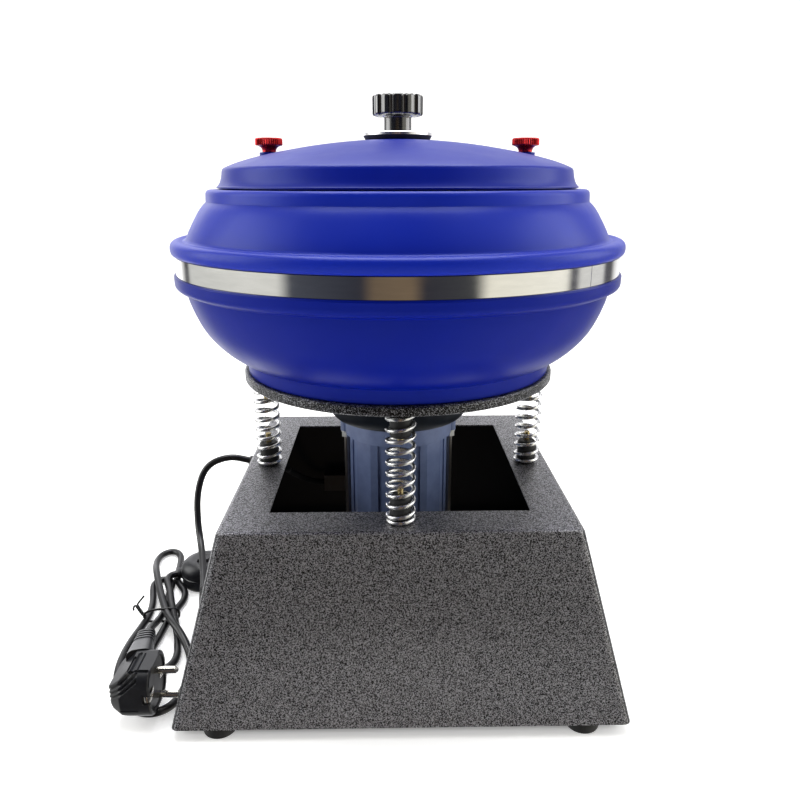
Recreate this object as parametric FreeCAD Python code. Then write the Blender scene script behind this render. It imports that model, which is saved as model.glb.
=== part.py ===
import FreeCAD, Part
import math
import os

os.makedirs("parts", exist_ok=True)
V = FreeCAD.Vector

# ------------------------------------------------------------------ driving dimensions (mm)
# base: truncated square pyramid of bent steel sheet
foot_h = 8.0
base_top_z = 130.0
base_half_bottom = 147.0
base_half_top = 116.5
sheet_t = 1.5
open_half = 87.0            # half width of the square opening in the top
bend_r = 5.0                # outside radius of the bent corners
flange_w = 20.0             # inturned bottom flange
foot_r = 11.0
foot_x, foot_y = 118.0, 135.2
slope = (base_half_bottom - base_half_top) / (base_top_z - foot_h)

# springs
spring_at = 100.0           # distance of each spring from the machine axis
spring_or = 9.8
wire_d = 2.6
spring_pitch = 7.4
spring_z0, spring_z1 = 130.0, 206.0
seat_r = 6.9
seat_h = 18.0

# round platform, bell and motor
plate_z0, plate_z1 = 206.0, 211.0
plate_r = 112.0
bell_top_r, bell_low_r, bell_z0 = 54.0, 42.0, 170.6
motor_r = 37.6
motor_z0, motor_z1 = 62.0, 157.6
endbell_r = 40.6
rod_x = 39.7
shaft_r = 4.0

# bowl
rim_r = 155.5
wall = 5.0
lid_seat_z = 335.0
center_rod_r = 4.0

# lid and hardware
thumb_x = 88.0
knob_r = 17.25
knob_z0, knob_z1 = 382.0, 395.5

# cord
cord_d = 5.8


# ------------------------------------------------------------------ helpers
def cyl(r, z0, z1, x=0.0, y=0.0):
    return Part.makeCylinder(r, z1 - z0, V(x, y, z0))


def ring(ro, ri, z0, z1, x=0.0, y=0.0):
    return cyl(ro, z0, z1, x, y).cut(cyl(ri, z0 - 1, z1 + 1, x, y))


def box(x0, x1, y0, y1, z0, z1):
    return Part.makeBox(x1 - x0, y1 - y0, z1 - z0, V(x0, y0, z0))


def rev(segs, x=0.0, y=0.0):
    """Closed profile in the XZ plane turned about a vertical axis.  segs: ('l', points) or ('s', points)."""
    edges, start, last = [], None, None
    for kind, pts in segs:
        pts = [V(p[0], 0, p[1]) for p in pts]
        if last is not None and (pts[0] - last).Length > 1e-6:
            edges.append(Part.LineSegment(last, pts[0]).toShape())
        if start is None:
            start = pts[0]
        if kind == "l":
            for a, b in zip(pts[:-1], pts[1:]):
                edges.append(Part.LineSegment(a, b).toShape())
        else:
            c = Part.BSplineCurve()
            c.interpolate(pts)
            edges.append(c.toShape())
        last = pts[-1]
    if (last - start).Length > 1e-6:
        edges.append(Part.LineSegment(last, start).toShape())
    face = Part.Face(Part.Wire(edges))
    s = face.revolve(V(0, 0, 0), V(0, 0, 1), 360)
    s = Part.makeSolid(s) if s.ShapeType != "Solid" else s
    if s.Volume < 0:
        s.reverse()
    s.translate(V(x, y, 0))
    return s


def frustum(h0, h1, z0, z1, r):
    """Square frustum with its four slanted edges rounded."""
    w0 = Part.makePolygon([V(-h0, -h0, z0), V(h0, -h0, z0), V(h0, h0, z0), V(-h0, h0, z0), V(-h0, -h0, z0)])
    w1 = Part.makePolygon([V(-h1, -h1, z1), V(h1, -h1, z1), V(h1, h1, z1), V(-h1, h1, z1), V(-h1, -h1, z1)])
    s = Part.makeLoft([w0, w1], True, True)
    es = [e for e in s.Edges if abs(e.Vertexes[0].Z - e.Vertexes[1].Z) > 1]
    s = s.makeFillet(r, es)
    return s


def hexa(af, z0, z1, x=0.0, y=0.0, turn=0.0):
    r = af / math.sqrt(3)
    pts = [V(x + r * math.cos(math.radians(60 * k + turn)), y + r * math.sin(math.radians(60 * k + turn)), z0) for k in range(7)]
    return Part.Face(Part.makePolygon(pts)).extrude(V(0, 0, z1 - z0))


def tube(pts, d, report=None):
    """Straight runs joined by tangent arcs, swept with a round section."""
    P = [V(*p) for p in pts]
    n = len(P)
    edges, length, radii = [], 0.0, []
    cur = P[0]
    for i in range(1, n - 1):
        a, b = (P[i] - P[i - 1]), (P[i + 1] - P[i])
        la, lb = a.Length, b.Length
        ang = a.getAngle(b)
        r = 0.45 * min(la, lb) / math.tan(ang / 2)
        t = r * math.tan(ang / 2)
        ua, ub = V(a), V(b)
        ua.normalize()
        ub.normalize()
        s, e = P[i] - ua * t, P[i] + ub * t
        bis = ub - ua
        bis.normalize()
        mid = P[i] + bis * (r / math.cos(ang / 2) - r)
        edges.append(Part.LineSegment(cur, s).toShape())
        edges.append(Part.Arc(s, mid, e).toShape())
        length += (s - cur).Length + r * ang
        radii.append(round(r, 1))
        cur = e
    edges.append(Part.LineSegment(cur, P[-1]).toShape())
    length += (P[-1] - cur).Length
    wire = Part.Wire(edges)
    t0 = P[1] - P[0]
    t0.normalize()
    prof = Part.Wire([Part.Circle(P[0], t0, d / 2).toShape()])
    s = wire.makePipeShell([prof], True, True)
    s = Part.makeSolid(s) if s.ShapeType != "Solid" else s
    if s.Volume < 0:
        s.reverse()
    print(report, "radii", radii, "length", round(length, 1), "volume ratio", round(s.Volume / (math.pi * d * d / 4 * length), 4), "valid", s.isValid())
    return s


def along(p, d, r0, r1, length):
    """Cone or cylinder from p along d."""
    d = V(*d)
    d.normalize()
    if abs(r0 - r1) < 1e-6:
        return Part.makeCylinder(r0, length, V(*p), d)
    return Part.makeCone(r0, r1, length, V(*p), d)


def compound(shapes):
    return Part.makeCompound(shapes)


nodes = {}


def put(name, shape):
    nodes[name] = shape


quarter = [(spring_at, 0.0), (0.0, spring_at), (-spring_at, 0.0), (0.0, -spring_at)]

# ------------------------------------------------------------------ base
outer = frustum(base_half_bottom, base_half_top, foot_h, base_top_z, bend_r)
top_edges = [e for e in outer.Edges if e.Vertexes[0].Z > base_top_z - 0.01 and e.Vertexes[-1].Z > base_top_z - 0.01]
try:
    outer = outer.makeFillet(3.0, top_edges)
except Exception as err:
    print("top fillet left out", err)
t_h = sheet_t / math.cos(math.atan(slope))
inner = frustum(base_half_bottom - t_h, base_half_top - t_h + slope * sheet_t, foot_h, base_top_z - sheet_t, bend_r - sheet_t)
shell = outer.cut(inner)
shell = shell.cut(box(-open_half, open_half, -open_half, open_half, 120, 140))
flange = frustum(base_half_bottom - t_h, base_half_bottom - t_h - slope * sheet_t, foot_h, foot_h + sheet_t, 3.0)
fl = base_half_bottom - flange_w
flange = flange.cut(box(-fl, fl, -fl, fl, 0, 20))
shell = shell.fuse(flange)
for x, y in quarter:                                # clearance holes of the spring bolts
    shell = shell.cut(cyl(2.05, 120, 140, x, y))
for sx in (-1, 1):
    for sy in (-1, 1):
        shell = shell.cut(cyl(2.05, 5, 12, sx * foot_x, sy * foot_y))
# cord hole in the left wall, square to the wall
gy, gz = 79.5, 98.6
gx = -(base_half_bottom - (gz - foot_h) * slope)
gn = V(-1, 0, slope)
gn.normalize()
shell = shell.cut(along((gx + 6 * -gn.x, gy, gz - 6 * gn.z), (gn.x, gn.y, gn.z), 5.5, 5.5, 14))
put("base_shell", shell)

put("feet", compound([rev([("l", [(1.95, 1.2), (4.0, 1.2), (4.0, 0.0), (10.2, 0.0), (10.8, 0.5), (foot_r, 1.6), (10.4, foot_h), (1.95, foot_h)])], sx * foot_x, sy * foot_y) for sx in (-1, 1) for sy in (-1, 1)]))
put("foot_screws", compound([cyl(1.95, 3.5, 16.5, sx * foot_x, sy * foot_y).fuse(cyl(3.6, 1.4 + 0.0, 3.5, sx * foot_x, sy * foot_y)).cut(cyl(3.6, 0, 1.4, sx * foot_x, sy * foot_y)) for sx in (-1, 1) for sy in (-1, 1)]))
nodes["feet"] = compound([s.cut(cyl(3.6, 1.1, 3.5, s.BoundBox.Center.x, s.BoundBox.Center.y)) for s in nodes["feet"].Solids])
put("foot_nuts", compound([hexa(7.0, foot_h + sheet_t, 13.5, sx * foot_x, sy * foot_y).cut(cyl(1.95, 0, 30, sx * foot_x, sy * foot_y)) for sx in (-1, 1) for sy in (-1, 1)]))

# spring seats, bolts and nuts on the base
put("lower_spring_seats", compound([rev([("l", [(2.0, base_top_z), (seat_r, base_top_z), (seat_r, base_top_z + seat_h - 1.2), (seat_r - 1.2, base_top_z + seat_h), (2.0, base_top_z + seat_h)])], x, y) for x, y in quarter]))
put("lower_spring_bolts", compound([cyl(2.0, base_top_z - 7.5, base_top_z + seat_h + 7.0, x, y) for x, y in quarter]))
put("lower_spring_nuts", compound([hexa(7.0, base_top_z - sheet_t - 4.2, base_top_z - sheet_t, x, y, 30).cut(cyl(2.0, 100, 140, x, y)) for x, y in quarter]))

# springs: one right-handed helix each
mean_r = spring_or - wire_d / 2
hz0, hz1 = spring_z0 + wire_d / 2 + 0.05, spring_z1 - wire_d / 2 - 0.05
spring_names = ["spring_right", "spring_rear", "spring_left", "spring_front"]
for (x, y), nm in zip(quarter, spring_names):
    hel = Part.makeHelix(spring_pitch, hz1 - hz0, mean_r)
    prof = Part.Wire([Part.Circle(V(mean_r, 0, 0), V(0, 1, spring_pitch / (2 * math.pi * mean_r)), wire_d / 2).toShape()])
    sp = Part.Wire(hel.Edges).makePipeShell([prof], True, True)
    sp = Part.makeSolid(sp) if sp.ShapeType != "Solid" else sp
    if sp.Volume < 0:
        sp.reverse()
    sp.translate(V(x, y, hz0))
    print(nm, "valid", sp.isValid(), "volume", round(sp.Volume, 1))
    put(nm, sp)

# ------------------------------------------------------------------ platform
plate = rev([("l", [(16.0, plate_z0), (plate_r - 0.8, plate_z0), (plate_r, plate_z0 + 1.0), (plate_r, plate_z1 - 1.0), (plate_r - 0.8, plate_z1), (16.0, plate_z1)])])
# rolled rim of the plate
plate = plate.fuse(rev([("l", [(110.1, plate_z0 + 1.0), (110.1, plate_z0 - 1.1), (110.5, plate_z0 - 1.5), (111.6, plate_z0 - 1.5), (112.4, plate_z0 - 0.7), (112.4, plate_z1 - 1.0), (111.6, plate_z1 - 0.1), (109.9, plate_z1), (109.9, plate_z0 + 1.0)])]))
for x, y in quarter:
    plate = plate.cut(cyl(2.0, 200, 215, x, y))
for k in range(4):
    a = math.radians(45 + 90 * k)
    plate = plate.cut(cyl(2.5, 200, 215, 47 * math.cos(a), 47 * math.sin(a)))
put("support_plate", plate)
hub = cyl(16.0, plate_z0 - 3, plate_z1).cut(cyl(center_rod_r, 200, 215))
put("plate_hub", hub)
put("upper_spring_seats", compound([rev([("l", [(2.0, plate_z0), (seat_r, plate_z0), (seat_r, plate_z0 - seat_h + 1.2), (seat_r - 1.2, plate_z0 - seat_h), (2.0, plate_z0 - seat_h)])], x, y) for x, y in quarter]))
put("upper_spring_bolts", compound([cyl(2.0, plate_z0 - seat_h - 5.0, plate_z1, x, y) for x, y in quarter]))

bell = rev([("l", [(bell_top_r, plate_z0), (bell_top_r, plate_z0 - 2.5)]),
            ("s", [(bell_top_r, plate_z0 - 2.5), (54.6, 194.0), (53.2, 182.0), (51.0, 175.4), (48.2, 172.2), (bell_low_r + 1.6, bell_z0 + 0.4)]),
            ("l", [(bell_low_r + 1.0, bell_z0), (12.0, bell_z0), (12.0, bell_z0 + 3.5), (38.6, bell_z0 + 3.5)]),
            ("s", [(38.6, bell_z0 + 3.5), (44.4, 175.6), (48.6, 181.0), (50.6, 190.0), (51.4, 202.0)]),
            ("l", [(40.5, 202.0), (40.5, plate_z0)])])
for k in range(4):
    a = math.radians(45 + 90 * k)
    bell = bell.cut(cyl(2.5, 200, 215, 47 * math.cos(a), 47 * math.sin(a)))
put("motor_bell", bell)
put("bell_screws", compound([cyl(2.5, 201.0, plate_z1, 47 * math.cos(math.radians(45 + 90 * k)), 47 * math.sin(math.radians(45 + 90 * k))) for k in range(4)]))
nodes["motor_bell"] = nodes["motor_bell"].cut(nodes["bell_screws"])

# motor
put("motor_top_cover", rev([("l", [(11.05, bell_z0 - 3.2), (11.05, bell_z0), (endbell_r, bell_z0), (endbell_r, motor_z1), (36.0, motor_z1), (36.0, bell_z0 - 3.2)])]).cut(compound([cyl(2.0, 150, 175, s * rod_x, 0) for s in (-1, 1)])))
ears = [cyl(4.6, motor_z1, bell_z0, s * rod_x, 0) for s in (-1, 1)]
tc = nodes["motor_top_cover"].fuse(ears[0]).fuse(ears[1])
put("motor_top_cover", tc.cut(compound([cyl(2.0, 150, 175, s * rod_x, 0) for s in (-1, 1)])))
n_side = 16
pts = []
for k in range(n_side + 1):
    a = 2 * math.pi * (k + 0.5) / n_side
    rr = motor_r if (k % 2 == 0 or k == n_side) else motor_r
    pts.append(V(rr * math.cos(a), rr * math.sin(a), motor_z0))
body = Part.Face(Part.makePolygon(pts)).extrude(V(0, 0, motor_z1 - motor_z0))
for k in range(8):
    a = 2 * math.pi * k / 8 + math.pi / 8
    g = box(motor_r - 2.0, motor_r + 3, -1.6, 1.6, motor_z0 - 1, motor_z1 + 1)
    g.rotate(V(0, 0, 0), V(0, 0, 1), math.degrees(a))
    body = body.cut(g)
for s in (-1, 1):
    body = body.cut(cyl(2.9, motor_z0 - 1, motor_z1 + 1, s * rod_x, 0))
body = body.cut(cyl(33.0, motor_z0 - 1, motor_z1 + 1))
put("motor_housing", body)
put("motor_stator", ring(33.0, 20.4, 84.0, 136.0))
put("motor_windings", compound([ring(31.0, 21.5, 136.0, 146.0), ring(31.0, 21.5, 74.0, 84.0)]))
bc = rev([("l", [(11.05, motor_z0 - 11.0), (11.05, motor_z0), (endbell_r, motor_z0), (endbell_r, motor_z0 - 7.0), (30.0, motor_z0 - 11.0)])])
for s in (-1, 1):
    bc = bc.fuse(cyl(4.6, motor_z0 - 7, motor_z0, s * rod_x, 0)).cut(cyl(2.0, 40, 70, s * rod_x, 0))
put("motor_bottom_cover", bc)
nodes["motor_bottom_cover"] = bc.cut(compound([cyl(4.6, motor_z0 - 12.0, motor_z0 - 7.0, s * rod_x, 0) for s in (-1, 1)]))
put("tie_rods", compound([cyl(2.0, motor_z0 - 11.5, 164.0, s * rod_x, 0) for s in (-1, 1)]))
nodes["motor_top_cover"] = nodes["motor_top_cover"].fuse(compound([cyl(2.0, 164.0, bell_z0, s * rod_x, 0) for s in (-1, 1)]))
put("tie_rod_nuts", compound([hexa(7.0, motor_z1 - 5.2, motor_z1 - 1.2, s * rod_x, 0, 30).cut(cyl(2.0, 140, 160, s * rod_x, 0)) for s in (-1, 1)] + [hexa(7.0, motor_z0 - 11.0, motor_z0 - 7.0, s * rod_x, 0, 30).cut(cyl(2.0, 40, 60, s * rod_x, 0)) for s in (-1, 1)]))
nodes["motor_housing"] = nodes["motor_housing"].cut(compound([cyl(4.4, motor_z1 - 5.6, motor_z1 + 1, s * rod_x, 0) for s in (-1, 1)]))
put("tie_rod_washers", compound([ring(4.2, 2.0, motor_z1 - 1.2, motor_z1, s * rod_x, 0) for s in (-1, 1)]))
put("upper_bearing", ring(11.0, shaft_r + 0.05, bell_z0 - 3.2, bell_z0 + 3.5))
put("lower_bearing", ring(11.0, shaft_r + 0.05, motor_z0 - 9.0, motor_z0 - 2.0))
# bearings are pressed into the covers
tcv = nodes["motor_top_cover"].fuse(ring(13.0, 11.0, bell_z0 - 3.2, bell_z0))
put("motor_top_cover", tcv)
bcv = nodes["motor_bottom_cover"].fuse(ring(13.0, 11.0, motor_z0 - 11.0, motor_z0))
put("motor_bottom_cover", bcv)
bl = nodes["motor_bell"].fuse(ring(13.0, 11.0, bell_z0, bell_z0 + 3.5))
put("motor_bell", bl)

# rotor
put("rotor_shaft", cyl(shaft_r, 26.0, 195.0))
put("rotor_core", ring(20.0, shaft_r, 82.0, 138.0))


def weight(r, z0, z1, turn):
    w = cyl(r, z0, z1).cut(box(-60, 60, 8.0, 60, z0 - 1, z1 + 1))
    w = w.fuse(cyl(11.0, z0, z1)).cut(cyl(shaft_r, z0 - 1, z1 + 1))
    w = w.makeFillet(0.6, [e for e in w.Edges if abs(e.Vertexes[0].Z - e.Vertexes[-1].Z) < 1e-6 and e.Length > 60])
    w.rotate(V(0, 0, 0), V(0, 0, 1), turn)
    return w


put("upper_eccentric_weight", weight(34.0, 179.0, 191.0, 0))
put("lower_eccentric_weight", weight(34.0, 30.0, 44.0, 75))
put("weight_set_screws", compound([Part.makeCylinder(2.0, 5.0, V(0, 11.0 - 5.0, 185.0), V(0, 1, 0)).fuse(Part.makeCylinder(2.0, 1.2, V(0, 10.9, 185.0), V(0, 1, 0)))]))
nodes["upper_eccentric_weight"] = nodes["upper_eccentric_weight"].cut(nodes["weight_set_screws"])
ws2 = nodes["weight_set_screws"].copy()
ws2.translate(V(0, 0, 37.0 - 185.0))
ws2.rotate(V(0, 0, 0), V(0, 0, 1), 75)
nodes["lower_eccentric_weight"] = nodes["lower_eccentric_weight"].cut(ws2)
put("weight_set_screws", compound(nodes["weight_set_screws"].Solids + ws2.Solids))

# ------------------------------------------------------------------ bowl
lower = rev([
    ("l", [(12.0, plate_z1), (22.0, plate_z1), (22.0, 216.0), (101.0, 216.0), (101.0, plate_z1), (108.8, plate_z1), (109.4, 211.6), (110.4, 220.6), (111.0, 221.3)]),
    ("s", [(111.0, 221.3), (114.4, 222.4), (118.8, 225.0), (124.5, 229.3), (129.7, 234.2), (134.2, 239.4), (138.3, 245.5), (141.6, 252.2), (144.3, 259.0), (146.1, 264.6), (147.0, 268.6)]),
    ("l", [(147.3, 270.0), (148.6, 271.2), (151.6, 272.0)]),
    ("s", [(151.6, 272.0), (153.6, 273.4), (154.4, 276.0)]),
    ("l", [(154.5, 280.2), (153.9, 281.3), (152.2, 281.5), (152.2, 293.5), (140.6, 293.5)]),
    ("s", [(140.6, 293.5), (141.6, 281.0), (141.6, 268.0), (137.8, 256.0), (131.4, 244.5), (122.6, 235.0), (113.0, 227.6), (104.0, 222.8), (96.0, 221.0)]),
    ("l", [(34.0, 221.0), (12.0, 221.0)]),
])
lower = lower.cut(cyl(center_rod_r + 0.3, 200, 230))
core_floor = cyl(12.0, plate_z1, 221.0).cut(cyl(center_rod_r + 0.3, 200, 230))
lower = lower.fuse(core_floor)
put("bowl_lower", lower)

upper = rev([
    ("l", [(140.6, 293.8), (151.0, 293.8), (153.6, 294.0)]),
    ("s", [(153.6, 294.0), (155.1, 295.6), (rim_r, 298.4), (154.9, 301.2), (152.6, 303.1), (149.6, 303.4), (147.4, 302.9)]),
    ("s", [(147.4, 302.9), (145.8, 303.2), (144.6, 304.6)]),
    ("s", [(144.6, 304.6), (142.6, 309.0), (140.3, 313.4), (138.0, 317.4), (135.8, 321.0), (133.4, 324.2), (131.2, 326.4)]),
    ("l", [(130.4, 327.2), (130.2, 332.0)]),
    ("s", [(130.2, 332.0), (129.6, 333.8), (127.6, lid_seat_z)]),
    ("l", [(113.0, lid_seat_z), (112.0, 334.0), (112.0, 331.0), (118.0, 328.6)]),
    ("s", [(118.0, 328.6), (126.0, 323.0), (132.2, 315.0), (137.0, 305.0), (139.6, 298.0), (140.6, 293.8)]),
])
put("bowl_upper", upper)
put("rim_gasket", ring(151.0, 142.0, 293.5, 293.8))
band = ring(153.0, 152.2, 281.6, 293.4)
seam = box(-0.25, 0.25, -156, -150, 280, 295)
seam.rotate(V(0, 0, 0), V(0, 0, 1), 46)
band = band.cut(seam)
put("clamp_band", band)
core = rev([
    ("l", [(center_rod_r + 0.3, 221.0), (34.0, 221.0)]),
    ("s", [(34.0, 221.0), (30.4, 224.6), (27.6, 232.0), (24.4, 250.0), (21.6, 275.0), (19.4, 305.0), (18.6, 330.0)]),
    ("l", [(18.0, 336.0), (16.0, 338.0), (center_rod_r + 0.3, 338.0)]),
])
put("bowl_core", core)
put("center_rod", cyl(center_rod_r, 199.0, 390.0))
put("rod_nut", hexa(13.0, 199.4, 203.0, 0, 0, 0).cut(cyl(center_rod_r, 190, 210)))

# ------------------------------------------------------------------ lid
lid = rev([
    ("l", [(center_rod_r + 0.6, 366.6), (24.5, 366.5)]),
    ("s", [(24.5, 366.5), (37.0, 365.4), (59.0, 362.7), (76.5, 359.7), (92.0, 356.5), (104.0, 353.4), (113.0, 350.4), (117.2, 348.6)]),
    ("s", [(117.2, 348.6), (118.2, 347.8), (118.8, 346.4)]),
    ("s", [(118.8, 346.4), (119.4, 343.0), (120.4, 339.6), (122.0, 337.2)]),
    ("l", [(122.8, 336.7), (122.8, 335.9), (121.0, 335.5), (116.8, 335.5)]),
    ("s", [(116.8, 335.5), (115.2, 339.6), (114.4, 343.4)]),
    ("s", [(114.4, 343.4), (110.0, 346.4), (100.0, 350.0), (88.0, 353.2), (74.0, 356.0), (57.0, 358.7), (36.0, 361.0), (22.0, 361.8)]),
    ("l", [(14.0, 361.8), (14.0, 352.0), (center_rod_r + 0.6, 352.0)]),
])
boss = [cyl(7.0, 349.0, 356.5, s * thumb_x, 0) for s in (-1, 1)]
for b in boss:
    lid = lid.fuse(b)
pad = [cyl(6.6, 355.0, 359.0, s * thumb_x, 0) for s in (-1, 1)]
for b in pad:
    lid = lid.fuse(b)
for s in (-1, 1):
    lid = lid.cut(cyl(2.56, 340, 365, s * thumb_x, 0))
put("lid", lid)
spigot = ring(111.4, 108.6, 331.5, 347.0)
lid_in = nodes["lid"].fuse(spigot)
put("lid", lid_in)
seal = ring(118.5, 112.0, 335.25, 335.5)
put("lid_seal", seal)
put("lid_rubber_washer", rev([("l", [(center_rod_r + 0.6, 366.6), (22.6, 366.6), (23.2, 367.4), (23.2, 368.8), (22.6, 369.6), (center_rod_r + 0.6, 369.6)])]))
put("lid_steel_washer", rev([("l", [(center_rod_r + 0.6, 369.6), (23.5, 369.6), (23.5, 371.2), (23.1, 371.6), (center_rod_r + 0.6, 371.6)])]))


def thumb(x):
    return rev([("l", [(0, 349.5), (2.0, 349.5), (2.5, 350.0), (2.5, 359.3), (4.7, 359.3), (4.7, 360.2)]),
                ("s", [(4.7, 360.2), (5.6, 362.0), (8.0, 363.3)]),
                ("l", [(9.0, 363.5), (9.25, 363.8), (9.25, 367.7), (8.7, 368.3), (0, 368.3)])], x, 0)


put("thumb_screw_left", thumb(-thumb_x))
put("thumb_screw_right", thumb(thumb_x))

head = cyl(knob_r, knob_z0, knob_z1)
for k in range(12):
    a = math.radians(30 * k + 15)
    head = head.cut(cyl(2.3, knob_z0 - 1, knob_z1 + 1, 18.1 * math.cos(a), 18.1 * math.sin(a)))
trim = rev([("l", [(0, knob_z0 - 0.01), (14.6, knob_z0 - 0.01), (knob_r - 0.4, knob_z0 + 1.6), (knob_r + 0.05, knob_z0 + 2.6), (knob_r + 0.05, knob_z1 - 2.6), (knob_r - 1.4, knob_z1 - 0.6), (14.4, knob_z1), (0, knob_z1)])])
head = head.common(trim)
kn = head.fuse(cyl(9.5, 371.9, knob_z0 + 0.5)).cut(cyl(6.5, 371.0, 391.0))
put("knob", kn)
put("knob_insert", ring(6.5, center_rod_r + 0.06, 371.9, 391.0))

# ------------------------------------------------------------------ cord side
# strain relief square to the left wall: flange outside, barb inside
g0 = V(gx, gy, gz)
tip = g0 + gn * 8.5
g = along((g0.x, g0.y, g0.z), (gn.x, gn.y, gn.z), 7.2, 6.6, 2.2)
g = g.fuse(along(tuple(g0 + gn * 2.0), (gn.x, gn.y, gn.z), 5.0, 4.0, 6.5))
g = g.fuse(along(tuple(g0 - gn * 13.5), (gn.x, gn.y, gn.z), 4.6, 5.4, 13.6))
g = g.cut(along(tuple(g0 - gn * 20), (gn.x, gn.y, gn.z), cord_d / 2, cord_d / 2, 40))
put("cable_gland", g)

P = [
    tuple(g0 - gn * 13.5),
    (gx - 1.2, gy, gz + 0.3),
    (-150.5, 78.5, 106.0),
    (-171.0, 74.5, 98.0),
    (-178.2, 66.0, 76.0),
    (-176.6, 54.0, 52.0),
    (-170.5, 37.5, 38.6),
    (-163.6, 14.0, 34.0),
    (-157.0, -10.0, 32.6),
    (-152.6, -32.0, 31.4),
    (-151.2, -43.0, 17.4),
    (-152.4, -32.0, 3.4),
    (-156.0, -8.0, 4.2),
    (-158.4, 13.0, 9.0),
]
# the first point lies in the gland, in line with it, so the second is put exactly on the gland's axis
P[1] = tuple(g0 + gn * 9.0)
P[2] = (-150.5, 78.3, 105.2)
put("cord_lead", tube(P, cord_d, "cord_lead"))

# in-line switch: round housing with a boot for each cord end
sx, sy = -170.0, 42.0
sw = rev([("l", [(0, 0), (17.2, 0)]), ("s", [(17.2, 0), (19.2, 1.2), (20.0, 3.4)]), ("l", [(20.0, 10.6), (19.5, 11.1), (20.0, 11.6), (20.0, 15.0)]), ("s", [(20.0, 15.0), (18.4, 20.0), (14.0, 23.2), (9.6, 24.0)]), ("l", [(0, 24.0)])], sx, sy)
b1 = along((sx - 16.5, sy + 0.8, 9.0), (-0.97, -0.243, 0), 5.4, 4.0, 8.0)
d2 = V(*P[-2]) - V(*P[-1])
d2.normalize()
b2s = V(*P[-1]) - d2 * 15.0
b2 = along(tuple(b2s), (d2.x, d2.y, d2.z), 5.6, 3.9, 15.0)
sw = sw.fuse(b1).fuse(b2)
rock = box(-8.2, 8.2, -4.9, 4.9, 16.0, 30.0)
rock.rotate(V(0, 0, 0), V(0, 0, 1), 90)
rock.translate(V(sx, sy, 0))
sw = sw.cut(rock)
put("switch_housing", sw)
rk = Part.makeCylinder(7.6, 8.8, V(-4.4, 0, 0), V(1, 0, 0))
rk = rk.common(box(-4.4, 4.4, -7.6, 7.6, -3.4, 3.6)).cut(Part.makeCylinder(9.0, 20, V(-10, 0, 10.9), V(1, 0, 0)))
rk.rotate(V(0, 0, 0), V(1, 0, 0), -7)
rk.translate(V(sx, sy, 21.6))
put("switch_rocker", rk)

# tied hank of the cord: upper lobe, waist and lower lobe, lying on the floor
def plan(points, z0, z1):
    c = Part.BSplineCurve()
    c.interpolate([V(a, b, z0) for a, b in points], PeriodicFlag=True)
    f = Part.Face(Part.Wire([c.toShape()]))
    return f.extrude(V(0, 0, z1 - z0))


lobe_up = plan([(-200.0, -20.0), (-205.5, 0.0), (-212.0, 22.0), (-221.0, 48.0), (-227.0, 70.0), (-224.0, 86.0), (-212.0, 84.0), (-204.0, 66.0), (-197.6, 50.0), (-196.0, 38.0), (-190.0, 26.0), (-182.0, 14.0), (-181.0, -2.0), (-182.0, -20.0), (-191.0, -26.0)], 0.0, 12.0)
lobe_lo = plan([(-191.0, -12.0), (-182.0, -18.0), (-168.0, -36.0), (-156.0, -56.0), (-150.2, -80.0), (-149.6, -104.0), (-152.6, -120.0), (-164.0, -129.0), (-181.0, -125.0), (-195.0, -110.0), (-203.0, -88.0), (-207.0, -62.0), (-205.0, -40.0), (-200.0, -20.0)], 0.0, 6.0)
knot = plan([(-181.0, -20.0), (-176.0, -36.0), (-178.0, -52.0), (-190.0, -56.0), (-203.0, -50.0), (-204.0, -36.0), (-200.0, -16.0), (-191.0, -12.0)], 0.0, 12.0)
hank = lobe_up.fuse(lobe_lo).fuse(knot)
hank = hank.cut(box(-215, -165, -21.8, -15.4, -1, 1.7)).cut(box(-215, -165, -21.8, -15.4, 10.3, 14)).cut(box(-215, -202.5, -21.8, -15.4, -1, 14)).cut(box(-180.5, -165, -21.8, -15.4, -1, 14))

# wire tie round the waist, with two twisted ends
tie = box(-204.3, -178.7, -20.2, -17.0, 0.0, 12.0).cut(box(-202.5, -180.5, -26, -10, 1.7, 10.3))
tail = along((-203.6, -19.0, 8.0), (-0.72, 0.42, 0.55), 1.3, 1.3, 9.6)
tail = tail.fuse(along((-210.0, -15.4, 12.8), (0.42, 0.62, 0.66), 1.0, 1.0, 8.6))
tie = tie.fuse(tail)
hank = hank.cut(tie).cut(sw)

# angled mains plug, face and pins towards the base's left wall: round body with flats above and
# below, wedge-shaped back, ribbed neck towards the rear
pz, py = 23.0, -119.2
px_face, px_back = -161.4, -188.6
pin_tip = -147.2
plug = Part.makeCylinder(18.2, px_face - px_back, V(px_back, py, pz), V(1, 0, 0))
taper = Part.makeCone(13.6, 18.3, 8.0, V(px_back, py, pz), V(1, 0, 0))
plug = plug.common(taper.fuse(Part.makeCylinder(18.3, px_face - px_back - 8.0, V(px_back + 8.0, py, pz), V(1, 0, 0))))
wedge = [(px_back, 7.0), (px_back + 12.2, 17.0), (px_face, 17.0), (px_face, -17.0), (px_back + 17.0, -17.0), (px_back, -8.0)]
w = Part.Face(Part.makePolygon([V(a, py - 30.0, pz + b) for a, b in wedge + wedge[:1]]))
plug = plug.common(w.extrude(V(0, 60.0, 0)))
nb = V(-175.2, -110.5, 35.2)
ne = V(-189.9, -52.4, 15.0)
nd = ne - nb
neck = Part.makeCone(8.2, 5.6, nd.Length, nb, nd)
neck = neck.common(box(-260, -100, py, 0, 0, pz + 19.0))
plug = plug.fuse(neck)
for dz in (-9.5, 9.5):
    plug = plug.cut(Part.makeCylinder(2.4, 10.0, V(px_face - 8.0, py, pz + dz), V(1, 0, 0)))
hank = hank.cut(plug)
solids = sorted(hank.Solids, key=lambda s: -s.Volume)
print("hank solids", [round(s.Volume) for s in solids])
put("cord_hank", solids[0])
put("wire_tie", tie)
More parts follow.
